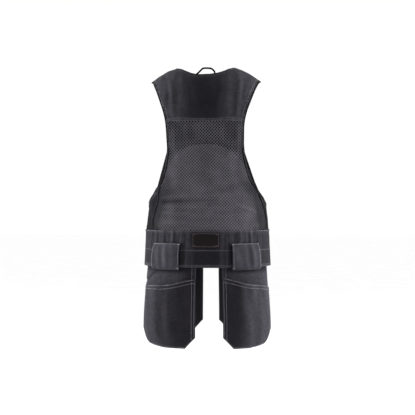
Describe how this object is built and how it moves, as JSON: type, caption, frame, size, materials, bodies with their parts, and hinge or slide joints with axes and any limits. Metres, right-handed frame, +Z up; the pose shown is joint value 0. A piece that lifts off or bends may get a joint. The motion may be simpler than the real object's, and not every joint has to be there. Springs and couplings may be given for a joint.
{
  "type": "utility work vest",
  "caption": "Sleeveless dark canvas work vest with an air-mesh back, plain yoke, deep hem band, wide belt loops and hanging holster pockets; zips at the front.",
  "frame": {"origin": "midway between the two shoulder ridges where they meet the neck opening, at the height where the vest rests on the wearer's shoulders", "axes": "+Z up along the wearer's trunk, the wearer faces -Y, and the wearer's left is +X"},
  "size_m": [0.4362, 0.291, 0.9405],
  "materials": {
    "canvas": "matt black cotton and polyester canvas",
    "mesh_knit": "matt black air-mesh knit with open cells",
    "lining_mesh": "second layer of the same mesh",
    "tape": "woven black binding tape with a slight sheen",
    "patch": "bare woven patch, near black",
    "zip_nylon": "black nylon coil zip"
  },
  "bodies": {
    "root": {"yoke": "canvas", "mesh_back": "mesh_knit", "mesh_inner_layer": "lining_mesh", "side_panel_left": "canvas", "side_panel_right": "canvas", "front_panel_left": "canvas", "front_panel_right": "canvas", "hem_band_back": "canvas", "hem_band_left": "canvas", "hem_band_right": "canvas", "armhole_binding_left": "tape", "armhole_binding_right": "tape", "neck_binding": "tape", "front_zip": "zip_nylon", "band_patch": "patch", "belt_loop_left": "canvas", "belt_loop_right": "canvas", "hanger_loop": "tape", "holster_backing_back_left": "canvas", "holster_pouch_back_left": "canvas", "holster_backing_back_right": "canvas", "holster_pouch_back_right": "canvas", "holster_backing_front_left": "canvas", "holster_pouch_front_left": "canvas", "holster_backing_front_right": "canvas", "holster_pouch_front_right": "canvas"}
  },
  "joints": []
}
